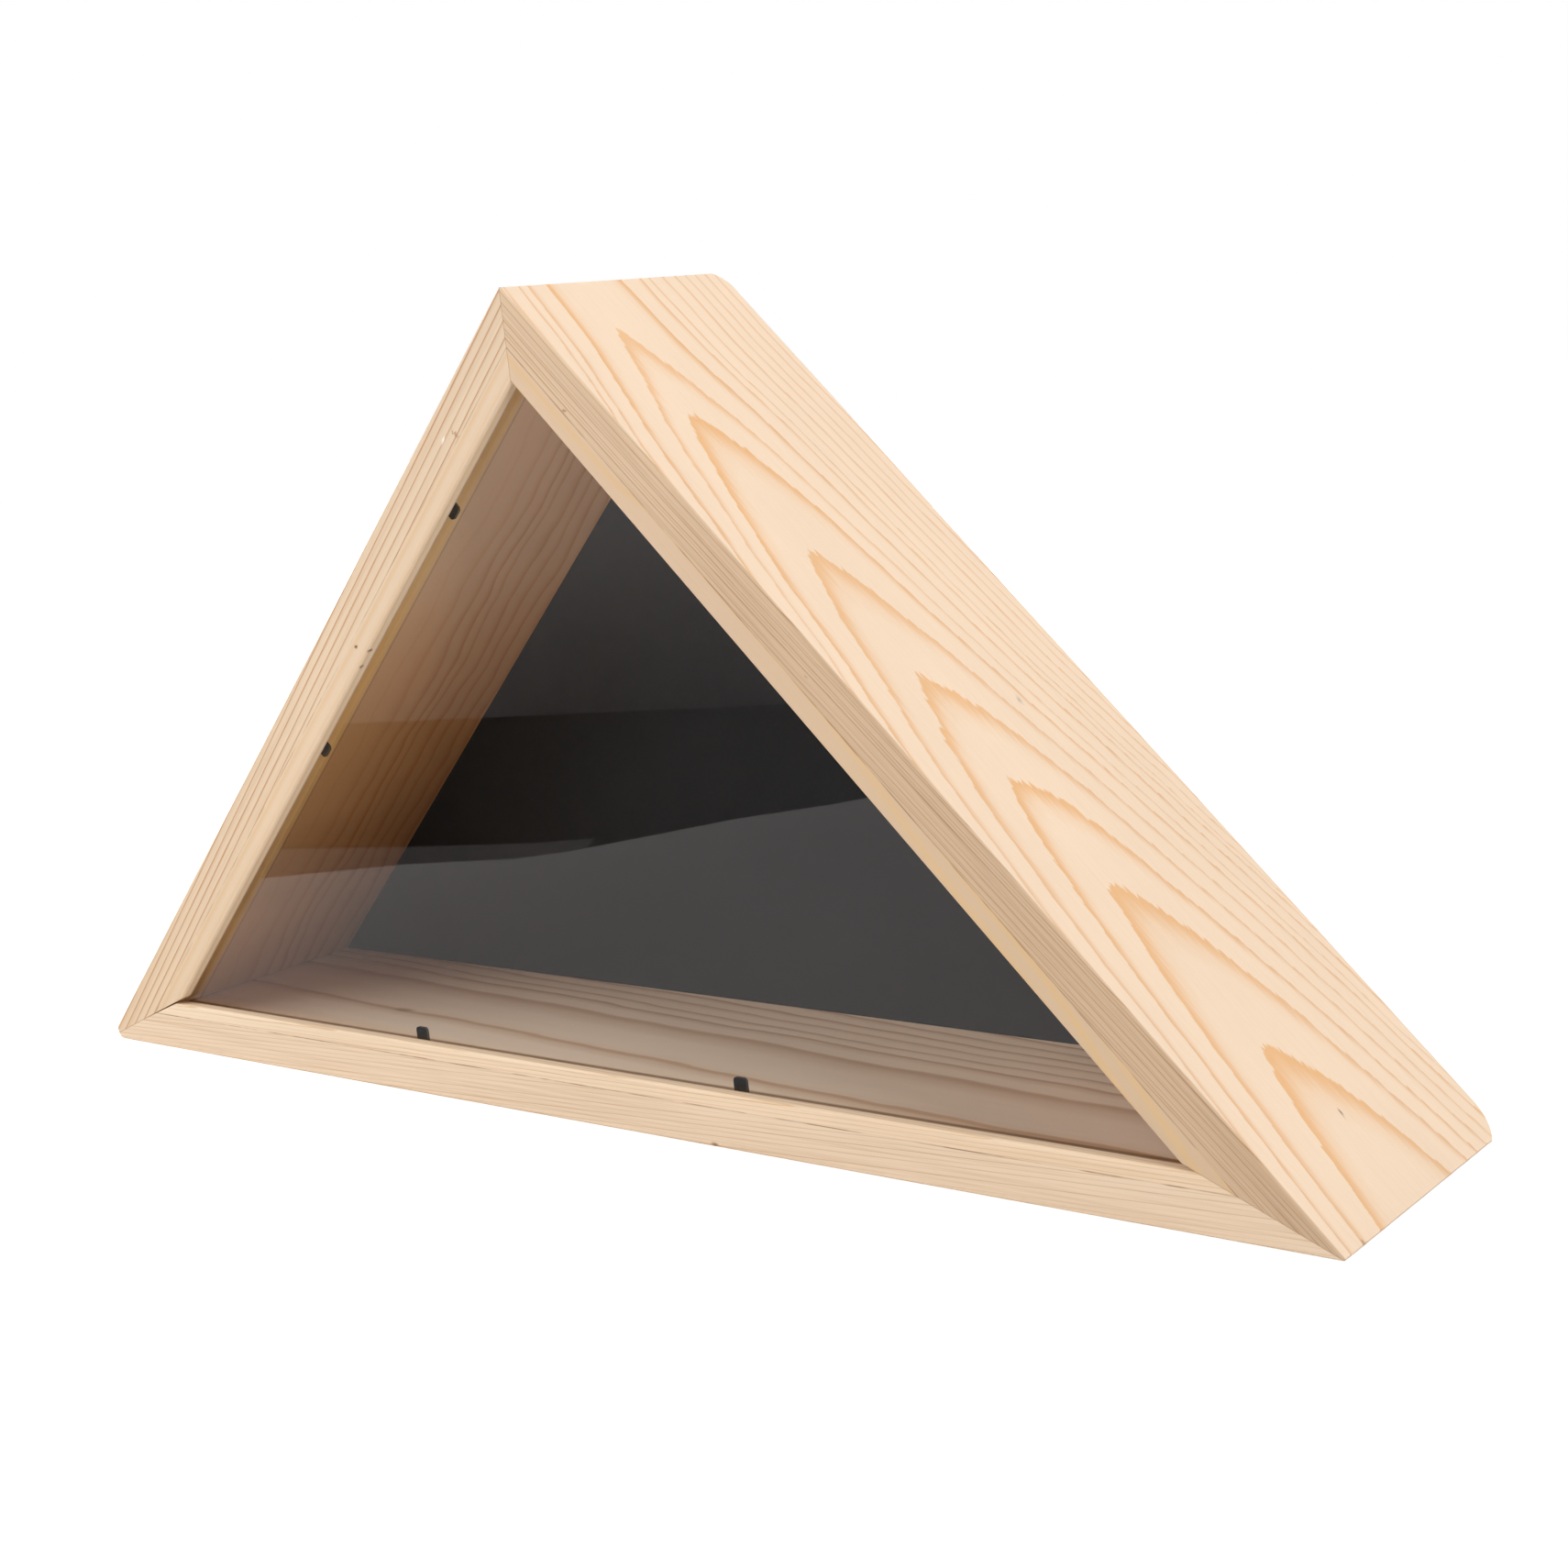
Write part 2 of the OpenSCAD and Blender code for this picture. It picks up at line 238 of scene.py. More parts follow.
# the front and rear edges, where the saw met the rings more nearly square on
def edgeWood(tree, bent, grain, growth, edge):
    along, back, inwards = grain.outputs
    if edge["climb"]:
        growth = addNode(tree, "Math", {"operation": "MULTIPLY_ADD"}, {
            0: inwards, 1: -edge["perInward"], 2: readOff(tree, along, edge["climb"])})
    late = lateWood(tree, growth, edge)
    # finer lines between the years' own
    fine = addNode(tree, "Mapping", None, {
        "Vector": bent, "Scale": (pine["finePerMm"], 0.0, edge["finePerMm"])})
    fine = addNode(tree, "TexNoise", None, {"Vector": fine, **pine["fineNoise"]})
    fine = addNode(tree, "MapRange", None, {
        "Value": fine, "From": pine["fineSpan"], "To": (0.0, edge["fine"])})
    late = addNode(tree, "Math", {"operation": "ADD", "use_clamp": True}, {0: late, 1: fine})
    early = addNode(tree, "MixRGB", None, {
        "Fac": readOff(tree, along, edge["dull"]),
        "Color1": linearColour(edge["early"]), "Color2": linearColour(edge["dullEarly"])})
    return addNode(tree, "MixRGB", None, {"Fac": late, "Color1": early, "Color2": linearColour(edge["late"])})


# painted shade: the inner faces are multiplied darker and warmer, standing in for the dim light inside the
# case
def paintedInsideShading(tree, wood, straight, along, look):
    back, inwards = straight.outputs["Y"], straight.outputs["Z"]
    nearInner, atInner = pine["insideStarts"]
    paintedShadingMask = addNode(tree, "MapRange", softly, {
        "Value": inwards, "From": (case["wall"] - nearInner, case["wall"] - atInner)})
    behindStrip = addNode(tree, "MapRange", None, {"Value": back, "From": pine["stripEnds"]})
    paintedShadingMask = addNode(tree, "Math", {"operation": "MULTIPLY"}, {0: paintedShadingMask, 1: behindStrip})
    paintedInsideShadeShare = readOff(tree, along, look["paintedInsideShadeShare"])
    paintedShadingMask = addNode(tree, "Math", {"operation": "MULTIPLY"}, {0: paintedShadingMask, 1: paintedInsideShadeShare})
    paintedInsideShade = addNode(tree, "VectorMath", {"operation": "SCALE"}, {
        0: linearColour(look["paintedInsideShade"])[:3], "Scale": readOff(tree, along, look["paintedInsideLightLevel"])})
    wood = addNode(tree, "MixRGB", {"blend_type": "MULTIPLY"}, {
        "Fac": paintedShadingMask, "Color1": wood, "Color2": paintedInsideShade})

    # painted reflection: next to the glass the face is brighter and yellower, where the pane mirrors the
    # strip, up to a fine dark line
    paintedReflection = addNode(tree, "MapRange", None, {
        "Value": back, "From": pine["paintedReflectionEnds"], "To": (1.0, 0.0)})
    paintedReflection = addNode(tree, "Math", {"operation": "MULTIPLY"}, {0: paintedReflection, 1: paintedShadingMask})
    paintedReflection = addNode(tree, "Math", {"operation": "MULTIPLY"}, {0: paintedReflection, 1: look["paintedReflectionBand"]})
    wood = addNode(tree, "MixRGB", {"blend_type": "MULTIPLY"}, {
        "Fac": paintedReflection, "Color1": wood, "Color2": pine["paintedReflectionTint"]})
    bandLineAmount = addNode(tree, "Math", {"operation": "COMPARE"}, {
        0: back, 1: pine["bandLineAt"], 2: pine["bandLineReach"]})
    bandLineAmount = addNode(tree, "Math", {"operation": "MULTIPLY"}, {
        0: bandLineAmount, 1: look["paintedReflectionBand"] * pine["bandLineShare"]})
    wood = addNode(tree, "MixRGB", None, {
        "Fac": bandLineAmount, "Color1": wood, "Color2": linearColour(pine["bandLineColour"])})

    # painted shadow: a dark line a little way behind the pane
    shadowLineAmount = addNode(tree, "Math", {"operation": "SUBTRACT"}, {0: back, 1: pine["shadowLineAt"]})
    shadowLineAmount = addNode(tree, "Math", {"operation": "ABSOLUTE"}, {0: shadowLineAmount})
    shadowLineAmount = addNode(tree, "MapRange", softly, {
        "Value": shadowLineAmount, "From": pine["shadowLineReach"], "To": (look["paintedShadowLine"], 0.0)})
    shadowLineAmount = addNode(tree, "Math", {"operation": "MULTIPLY"}, {0: shadowLineAmount, 1: paintedShadingMask})
    return addNode(tree, "MixRGB", None, {
        "Fac": shadowLineAmount, "Color1": wood, "Color2": linearColour(pine["shadowLineColour"])})


# the dark lines where a piece meets its neighbours
def meetingLines(tree, wood, lying, straight, look):
    back = straight.outputs["Y"]
    # glue between board and strip, broken here and there, on the front only
    glueGap = addNode(tree, "Math", {"operation": "SUBTRACT"}, {0: straight.outputs["Z"], 1: case["wall"]})
    glueGap = addNode(tree, "Math", {"operation": "ABSOLUTE"}, {0: glueGap})
    glue = addNode(tree, "MapRange", None, {"Value": glueGap, "From": pine["glueReach"], "To": (1.0, 0.0)})
    glueFront = addNode(tree, "MapRange", None, {"Value": back, "From": pine["glueDepth"], "To": (1.0, 0.0)})
    glueBreaks = addNode(tree, "TexNoise", {"noise_dimensions": "1D"}, {
        "W": straight.outputs["X"], **pine["glueNoise"]})
    glueBreaks = addNode(tree, "MapRange", None, {
        "Value": glueBreaks, "From": pine["glueSpan"], "To": look["seam"]})
    glue = addNode(tree, "Math", {"operation": "MULTIPLY"}, {0: glue, 1: glueFront})
    glue = addNode(tree, "Math", {"operation": "MULTIPLY"}, {0: glue, 1: glueBreaks})
    # the shadow line where the strip meets the pane
    contact = addNode(tree, "MapRange", None, {
        "Value": back, "From": pine["contactAt"], "To": (0.0, look["contact"])})
    # hairlines where the mitres close, 45 degrees at the apex and 22.5 at the lower corners
    firstAngle = 22.5 if look["side"] == "bottom" else 45.0
    gaps = []
    for angle, start, facing in ((firstAngle, 0.0, 1), (22.5, boardLengths[look["side"]], -1)):
        lean = math.radians(angle)
        across = addNode(tree, "VectorMath", {"operation": "DOT_PRODUCT"}, {
            0: lying, 1: (-facing * math.sin(lean), 0.0, math.cos(lean))})
        across = addNode(tree, "Math", {"operation": "ADD"}, {
            0: across.outputs["Value"], 1: facing * start * math.sin(lean)})
        gaps.append(addNode(tree, "Math", {"operation": "ABSOLUTE"}, {0: across}))
    nearest = addNode(tree, "Math", {"operation": "MINIMUM"}, {0: gaps[0], 1: gaps[1]})
    mitre = addNode(tree, "MapRange", None, {
        "Value": nearest, "From": pine["mitreReach"], "To": (look["mitre"], 0.0)})
    for amount, colour in ((glue, "glue"), (contact, "contactShadow"), (mitre, "mitreLine")):
        wood = addNode(tree, "MixRGB", None, {
            "Fac": amount, "Color1": wood, "Color2": linearColour(pine[colour])})
    return wood


def pineMaterial(name, look):
    material, tree = newMaterial(name)
    lying = placeOnBoard(tree, look["side"])
    straight = addNode(tree, "SeparateXYZ", None, {0: lying})
    bent = wanderingGrain(tree, lying, look)
    grain = addNode(tree, "SeparateXYZ", None, {0: bent})
    growth, offFlame = growthRings(tree, grain, look)
    wood, faceLate = faceWood(tree, growth, offFlame, look)
    edge = edgeWood(tree, bent, grain, growth, look["edge"])

    # 1 on the front and rear edges, 0 on the broad faces
    fromMiddle = addNode(tree, "Math", {"operation": "ADD"}, {0: straight.outputs["Y"], 1: frontY})
    fromMiddle = addNode(tree, "Math", {"operation": "ABSOLUTE"}, {0: fromMiddle})
    onEdge = addNode(tree, "MapRange", softly, {
        "Value": fromMiddle, "From": [case["depth"] / 2 - short for short in pine["edgeStarts"]]})
    wood = addNode(tree, "MixRGB", None, {"Fac": onEdge, "Color1": wood, "Color2": edge})
    wood = paintedInsideShading(tree, wood, straight, grain.outputs["X"], look)

    # cloudy tone over some centimetres, and the fibres
    cloud = addNode(tree, "Mapping", None, {"Vector": lying, "Scale": pine["cloudPerMm"]})
    cloud = addNode(tree, "TexNoise", None, {"Vector": cloud, **pine["cloudNoise"]})
    cloudTone = addNode(tree, "MapRange", None, {
        "Value": cloud, "From": pine["noiseSpan"], "To": pine["cloudTone"]})
    fibre = addNode(tree, "Mapping", None, {"Vector": lying, "Scale": pine["fibrePerMm"]})
    fibre = addNode(tree, "TexNoise", None, {"Vector": fibre, **pine["fibreNoise"]})
    fibreTone = addNode(tree, "MapRange", None, {
        "Value": fibre, "From": pine["noiseSpan"], "To": (1.0 - look["fibre"], 1.0 + look["fibre"])})
    tone = addNode(tree, "Math", {"operation": "MULTIPLY"}, {0: cloudTone, 1: fibreTone})
    wood = addNode(tree, "VectorMath", {"operation": "SCALE"}, {0: wood, "Scale": tone})
    wood = meetingLines(tree, wood, lying, straight, look)

    # pin knots and smudges, and dents and a chip whose hollows get painted shade as darker spots
    for mark in look["marks"]:
        spot = addNode(tree, "Mapping", {"vector_type": "TEXTURE"}, {
            "Vector": bent, "Location": mark["at"], "Scale": mark["size"]})
        spot = addNode(tree, "VectorMath", {"operation": "LENGTH"}, {0: spot})
        spot = addNode(tree, "MapRange", softly, {
            "Value": spot.outputs["Value"], "From": pine["markReach"], "To": (mark["strength"], 0.0)})
        wood = addNode(tree, "MixRGB", None, {
            "Fac": spot, "Color1": wood, "Color2": linearColour(mark["colour"])})

    height = addNode(tree, "Math", {"operation": "MULTIPLY_ADD"}, {
        0: fibre, 1: pine["fibreBump"], 2: faceLate})
    bump = addNode(tree, "Bump", None, {
        "Height": height, "Strength": pine["bumpStrength"], "Distance": pine["bumpMetres"]})
    rough = addNode(tree, "MapRange", None, {
        "Value": fibre, "From": pine["noiseSpan"], "To": pine["roughness"]})
    shader = addNode(tree, "BsdfPrincipled", None, {
        "Base Color": wood, "Roughness": rough, "IOR": pine["ior"], "Specular IOR Level": pine["specular"],
        "Normal": bump})
    addNode(tree, "OutputMaterial", None, {"Surface": shader})
    return material


# how a year darkens: gradually, then a sharp end; and the plainer ways that it does on edges and broad grain
flameYear = [(0.0, 0.0), (0.56, 0.0), (0.75, 0.25), (0.87, 0.75), (0.95, 1.0), (1.0, 0.95)]
edgeYear = [(0.0, 0.05), (0.12, 0.0), (0.72, 0.08), (0.86, 0.45), (0.94, 1.0), (1.0, 0.25)]
broadYear = [(0.0, 0.25), (0.1, 0.0), (0.5, 0.0), (0.78, 0.45), (0.92, 1.0), (1.0, 0.75)]
softYear = [(0.0, 0.35), (0.18, 0.0), (0.45, 0.0), (0.7, 0.55), (0.85, 0.9), (1.0, 0.4)]

# what the boards start from; a list of pairs is a line of (mm from the upper or left end, how much)
plainBoard = {
    "rearPower": 1.905,                # growth rises by this power of the mm behind the axis of the flames
    "frontReach": 0.477, "frontPower": 1.649,   # and so in front of it, for each "frontReach" mm
    "tipSharpness": 0.0,               # growth taken off there, so that flames end in points
    "sideThinness": 1.0, "sideStrength": 1.0,   # of the late wood beside the flames, against that in them
    "listedYears": {},                 # years of a set strength, by their number
    "paintedInsideShade": "FFFFFF",                 # painted shade that multiplies the inner face
    "paintedInsideShadeShare": [(0, 1), (445, 0.99)],   # how fully it does
    "paintedInsideLightLevel": [(0, 1), (445, 0.99)],     # how bright the painted shade is; above 1 it is painted light
    "paintedReflectionBand": 0.0, "paintedShadowLine": 0.0,       # the painted reflection band and painted shadow line that some inner faces have
    "contact": 0.0, "mitre": 0.5,      # how dark these lines are
    "fibre": 0.022,                    # how much lighter and darker the fibres are
}
plainEdge = {
    "climb": None,                     # an edge without its own shows the growth of the broad face
    "perInward": 1.0, "yearProfile": edgeYear, "listedYears": {},
}
rightBoard = {
    **plainBoard, "side": "right",
    # the middle of the flames, in mm behind the front face
    "axis": [(0, 27.3), (100, 25.0), (150, 24.8), (200, 26.8), (265, 30.7), (315, 33.0)],
    # growth that the face has cut through, then growth for each mm into the board, and where years end
    "climb": [(0, 0), (30, 72), (60, 248), (100, 464), (140, 694), (180, 1000), (220, 1289), (265, 1588),
              (315, 1934)],
    "perInward": 165.0,
    "yearEnds": [-3900, -3650, -3400, -3150, -2900, -2650, -2480, -2230, -1990, -1602, -1263, -1006, -731,
                 -484, -212, -52, 193, 408, 525, 740, 969, 1199, 1411, 1658, 1900, 2150, 2400],
    "yearProfile": flameYear, "weakestYear": 0.85, "listedYears": {14: 0.8},
    "tipSharpness": 17.0, "sideThinness": 2.0, "sideStrength": 0.95,
    # mm that the grain bends and jags, and bends and jags for each mm
    "bend": (0.0, 2.4, 0.4), "bendScale": (0.022, 0.05, 0.05), "seed": (3.1, 7.7, 1.3),
    "jag": (11.0, 0.5, 0.1), "jagScale": (0.06, 1.0, 1.0),
    "early": "F7DDC2", "late": "EEBB86", "sideLate": "E7BA8D",
    "edge": {
        **plainEdge,
        "climb": [(0, 0), (40, -0.3), (100, -2.0), (150, -3.9), (200, -5.8), (290, -9.2), (315, -10)],
        # some 1 mm apart, but unevenly
        "yearEnds": [-24 + 1.05 * i + 0.33 * math.sin(2.3 * i) for i in range(28)], "weakestYear": 0.3,
        "early": "D9BD9F", "dullEarly": "CDB092", "late": "9C7650",
        "dull": [(0, 0), (60, 0.2), (110, 0.75), (315, 1)],
        "fine": 0.25, "finePerMm": 0.6,         # strength and number of the fine lines
    },
    "paintedInsideShade": "F3E0CC", "paintedInsideShadeShare": [(0, 1), (315, 0.99)], "paintedInsideLightLevel": [(0, 1), (315, 0.99)],
    "mitre": 0.45,
    "seam": (0.1, 0.75),                        # how dark the glue line is at its weakest and strongest
    "marks": [                                  # places and sizes in mm
        {"at": (288.0, 36.0, 0.0), "size": (1.6, 0.5, 2.0), "colour": "8C7766", "strength": 0.9},
        {"at": (159.0, 51.0, 0.0), "size": (1.6, 1.2, 2.0), "colour": "B9A79A", "strength": 0.6},
        {"at": (314.3, 9.0, 0.4), "size": (1.0, 2.4, 1.2), "colour": "8B6848", "strength": 0.6},
        {"at": (35.0, 0.0, 10.2), "size": (0.6, 2.0, 1.4), "colour": "8A6448", "strength": 0.75},
        {"at": (130.5, 0.0, 7.1), "size": (0.8, 2.0, 0.35), "colour": "8E8D8C", "strength": 0.7},
    ],
}
leftBoard = {
    **plainBoard, "side": "left",
    "axis": [(0, 8), (315, 8)],
    "climb": [(0, -60), (150, 0), (220, -40), (315, 40)],
    "perInward": 90.0,
    "yearEnds": [-2400, -2050, -1700, -760, -692, -411, -135, 158, 390, 839, 1191, 1685, 2221, 2700, 3200],
    "yearProfile": broadYear, "weakestYear": 0.45, "listedYears": {2: 0.0, 3: 0.25}, "sideStrength": 0.9,
    "bend": (0.0, 10.0, 0.3), "bendScale": (0.026, 0.04, 0.04), "seed": (9.4, 2.2, 5.1),
    "jag": (7.0, 0.6, 0.15), "jagScale": (0.07, 0.8, 0.8),
    "early": "EFD8BE", "late": "D9AE84", "sideLate": "D6A87C",
    "edge": {
        **plainEdge,
        "climb": [(0, 3.0), (60, 4.4), (100, 5.2), (160, 6.7), (200, 7.8), (315, 11.0)],
        "yearEnds": [-17, -14, -11.2, -8.4, -5.6, -2.8, 0, 2.6, 5.1, 7.6, 10.1, 12.6], "weakestYear": 0.75,
        "early": "DFC8AD", "dullEarly": "E0C8AA", "late": "B67F50", "dull": [(0, 0), (120, 0.2), (315, 1)],
        "fine": 0.2, "finePerMm": 0.7,
    },
    # painted shade and light: the lower half of the inner face is browner, and darkest two thirds of the way
    # down, while the top is painted lighter
    "paintedInsideShade": "DDB590", "paintedInsideShadeShare": [(0, 0.68), (80, 0.71), (120, 0.9), (165, 1), (315, 1)],
    "paintedInsideLightLevel": [(0, 1.3), (80, 1.26), (140, 1.1), (165, 0.97), (200, 0.82), (228, 0.71), (252, 0.84), (315, 1)],
    "paintedReflectionBand": 0.85, "seam": (0.0, 0.45),
    "marks": [
        {"at": (42.0, 0.0, 9.2), "size": (0.6, 2.0, 2.4), "colour": "AE8564", "strength": 0.75},
        {"at": (46.3, 0.0, 6.8), "size": (1.4, 2.0, 0.6), "colour": "FBF4EC", "strength": 0.8},
    ],
}
bottomBoard = {
    **plainBoard, "side": "bottom",
    "axis": [(0, 22), (200, 9), (330, 0), (445, -5)],
    "climb": [(0, 1180), (445, 1200)],
    "perInward": -110.0,
    "yearEnds": [-2200, -1900, -1600, -1300, -1000, -720, -450, -200, 0, 250, 1230, 1700, 2020, 2430, 2850,
                 3300, 3800, 4250, 4700, 5150, 5600],
    "yearProfile": broadYear, "weakestYear": 0.7, "listedYears": {7: 0.25}, "tipSharpness": 10.0,
    "bend": (0.0, 5.0, 0.3), "bendScale": (0.02, 0.05, 0.05), "seed": (1.8, 4.9, 8.8),
    "jag": (6.0, 0.5, 0.1), "jagScale": (0.06, 0.8, 0.8),
    "early": "FDE1CA", "late": "D6A47A", "sideLate": "D2A480",
    "edge": {
        **plainEdge,
        "climb": [(0, 0), (445, 17.5)], "yearEnds": [-16 + 1.3 * i for i in range(28)], "weakestYear": 0.2,
        "early": "E9D1B7", "dullEarly": "E9D1B7", "late": "CBA882", "dull": [(0, 0), (445, 0)],
        "fine": 0.4, "finePerMm": 1.1,
    },
    "paintedShadowLine": 0.75, "seam": (0.05, 0.7),
    "marks": [
        {"at": (107.0, 33.0, 10.8), "size": (6.0, 2.2, 3.0), "colour": "A9805E", "strength": 0.7},
        # a chip in the front edge: painted shade as a dark spot
        {"at": (262.0, 0.0, 0.6), "size": (1.8, 2.0, 0.8), "colour": "8F6A4B", "strength": 0.9},
    ],
}
for look in (rightBoard, leftBoard, bottomBoard):
    wearMaterial(pineMaterial("sanded pine " + look["side"] + " board", look), look["side"] + "_board")
print("boards done")

# the strips are smoother slips of the same pine with broad, yellowish flat grain
plainStrip = {
    **plainBoard,
    "axis": [(0, 0), (445, 0)], "rearPower": 1.0, "frontReach": 1.0, "frontPower": 1.0, "perInward": 1.0,
    "yearProfile": softYear, "weakestYear": 0.75,
    "bend": (0.0, 0.0, 0.8), "bendScale": (0.03, 0.05, 0.05),
    "jag": (3.0, 0.2, 0.1), "jagScale": (0.08, 0.9, 0.9),
    "contact": 0.4, "mitre": 0.45, "fibre": 0.014, "marks": [],
}
plainStripEdge = {**plainEdge, "yearProfile": softYear, "weakestYear": 0.75}
rightStripYears = {"yearEnds": [-16.9, -11.7, -6.5, -1.3, 3.9, 9.1, 14.3], "listedYears": {0: 0.0}}
rightStrip = {
    **plainStrip, **rightStripYears, "side": "right", "seed": (2.2, 6.1, 0.4),
    "climb": [(0, -5.2), (55, -5.2), (75, -2.6), (132, -2.7), (205, -8.7), (214, -8.9), (250, -13.9),
              (285, -19), (315, -24)],
    "early": "EBD3B8", "late": "E6C493", "sideLate": "E6C493",
    "edge": {
        **plainStripEdge, **rightStripYears,
        "early": "D7BBA0", "dullEarly": "D0B495", "late": "D7B486",
        "dull": [(0, 0), (90, 0.3), (150, 0.7), (315, 1)],
        "fine": 0.12, "finePerMm": 0.6,
    },
    "seam": (0.1, 0.75),
}
leftStripYears = {"yearEnds": [-24.0, -17.4, -15.2, -11.2, -6.6, -2.2]}
leftStrip = {
    **plainStrip, **leftStripYears, "side": "left", "seed": (5.2, 1.1, 3.3),
    "climb": [(0, 0), (100, -0.3), (200, -0.1), (315, -0.5)],
    "early": "EBD2B6", "late": "E4C292", "sideLate": "E4C292",
    "edge": {
        **plainStripEdge, **leftStripYears,
        "early": "DFC6AC", "dullEarly": "DEC5A7", "late": "DABA95", "dull": [(0, 0), (315, 1)],
        "fine": 0.1, "finePerMm": 0.6,
    },
    "seam": (0.0, 0.45),
    "marks": [
        {"at": (118.0, 0.0, 12.9), "size": (0.9, 2.0, 0.8), "colour": "6E4C34", "strength": 0.95},
        {"at": (116.0, 1.0, 17.0), "size": (1.0, 1.2, 0.8), "colour": "5E4330", "strength": 0.8},
        {"at": (122.5, 1.0, 17.0), "size": (1.0, 1.0, 0.7), "colour": "5E4330", "strength": 0.7},
    ],
}
bottomStripYears = {"yearEnds": [-17 + 1.2 * i for i in range(24)]}
bottomStrip = {
    **plainStrip, **bottomStripYears, "side": "bottom", "seed": (7.7, 0.6, 2.9),
    "climb": [(0, 0), (445, -9)],
    "early": "EED6BB", "late": "DDBB92", "sideLate": "DDBB92",
    "edge": {
        **plainEdge, **bottomStripYears, "weakestYear": 0.3,
        "early": "EFD8BD", "dullEarly": "EAD0B2", "late": "D2B08A", "dull": [(0, 0), (445, 1)],
        "fine": 0.35, "finePerMm": 1.1,
    },
    "seam": (0.15, 0.8),
}
for look in (rightStrip, leftStrip, bottomStrip):
    wearMaterial(pineMaterial("sanded pine " + look["side"] + " strip", look), look["side"] + "_strip")
print("strips done")


# Clear acrylic sheet, cast and polished: sharp reflections, hardly any tint.
# Light on its way to the inside passes straight through, so the case isn't black within.
pane = {"tint": "F9FBFA", "shadowTint": "F1F3F2", "ior": 1.49, "roughness": 0.0}
material, tree = newMaterial("clear acrylic sheet")
shader = addNode(tree, "BsdfPrincipled", None, {
    "Base Color": linearColour(pane["tint"]), "Roughness": pane["roughness"], "IOR": pane["ior"],
    "Transmission Weight": 1.0})
clear = addNode(tree, "BsdfTransparent", None, {"Color": linearColour(pane["shadowTint"])})
rays = addNode(tree, "LightPath")
passing = addNode(tree, "Math", {"operation": "MAXIMUM"}, {
    0: rays.outputs["Is Shadow Ray"], 1: rays.outputs["Is Diffuse Ray"]})
sheet = addNode(tree, "MixShader", None, {"Fac": passing, 1: shader, 2: clear})
addNode(tree, "OutputMaterial", None, {"Surface": sheet})
wearMaterial(material, "front_pane")

# Painted hardboard, charcoal: matt, with faint rubbed smudges and a slight orange-peel from the roller.
# The scales of its noises, and of those below, are repeats for each metre.
panel = {
    "paint": "26262A", "smudge": "2D2D31",
    "smudgeNoise": {"Scale": 14.0, "Detail": 5.0, "Roughness": 0.55},
    "smudgeSquash": (1.0, 1.0, 1.6), "smudgeSpan": (0.4, 0.7),
    # roller texture is about 0.5 mm, drawn at 1.2 mm, and only its gloss varies
    "peelNoise": {"Scale": 820.0, "Detail": 2.0},
    "roughness": (0.62, 0.78), "ior": 1.45,
}
material, tree = newMaterial("charcoal painted hardboard")
place = addNode(tree, "TexCoord")
spread = addNode(tree, "Mapping", None, {"Vector": place.outputs["Object"], "Scale": panel["smudgeSquash"]})
smudges = addNode(tree, "TexNoise", None, {"Vector": spread, **panel["smudgeNoise"]})
smudgeAmount = addNode(tree, "MapRange", None, {"Value": smudges, "From": panel["smudgeSpan"]})
paint = addNode(tree, "MixRGB", None, {
    "Fac": smudgeAmount, "Color1": linearColour(panel["paint"]), "Color2": linearColour(panel["smudge"])})
peel = addNode(tree, "TexNoise", None, {"Vector": place.outputs["Object"], **panel["peelNoise"]})
peelRough = addNode(tree, "MapRange", None, {"Value": peel, "To": panel["roughness"]})
shader = addNode(tree, "BsdfPrincipled", None, {
    "Base Color": paint, "Roughness": peelRough, "IOR": panel["ior"]})
addNode(tree, "OutputMaterial", None, {"Surface": shader})
wearMaterial(material, "back_panel")

# Glazing points of spring steel, blacked in oil: nearly black, a little sheen, rubbed greyer in places.
points = {
    "black": "141312", "rubbed": "2B2927",
    "rubNoise": {"Scale": 600.0, "Detail": 3.0}, "rubSpan": (0.45, 0.75), "roughness": (0.35, 0.6),
}
material, tree = newMaterial("oil-blacked spring steel")
place = addNode(tree, "TexCoord")
rub = addNode(tree, "TexNoise", None, {"Vector": place.outputs["Object"], **points["rubNoise"]})
rubAmount = addNode(tree, "MapRange", None, {"Value": rub, "From": points["rubSpan"]})
skin = addNode(tree, "MixRGB", None, {
    "Fac": rubAmount, "Color1": linearColour(points["black"]), "Color2": linearColour(points["rubbed"])})
skinRough = addNode(tree, "MapRange", None, {"Value": rub, "To": points["roughness"]})
shader = addNode(tree, "BsdfPrincipled", None, {"Base Color": skin, "Roughness": skinRough})
addNode(tree, "OutputMaterial", None, {"Surface": shader})
wearMaterial(material, *[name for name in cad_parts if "_point_" in name])

# Zinc-plated mild steel, pressed: pale grey metal with a faint cloudy passivation and fine scuffs.
zinc = {
    "light": "C9C9C6", "dark": "A3A3A2",
    "cloudNoise": {"Scale": 350.0, "Detail": 3.0},
    "scuffsPerMetre": (400.0, 400.0, 4000.0), "scuffNoise": {"Scale": 1.0, "Detail": 3.0},
    "roughness": (0.28, 0.5),
}
material, tree = newMaterial("zinc plated steel")
place = addNode(tree, "TexCoord")
cloud = addNode(tree, "TexNoise", None, {"Vector": place.outputs["Object"], **zinc["cloudNoise"]})
plate = addNode(tree, "MixRGB", None, {
    "Fac": cloud, "Color1": linearColour(zinc["dark"]), "Color2": linearColour(zinc["light"])})
scuff = addNode(tree, "Mapping", None, {"Vector": place.outputs["Object"], "Scale": zinc["scuffsPerMetre"]})
scuff = addNode(tree, "TexNoise", None, {"Vector": scuff, **zinc["scuffNoise"]})
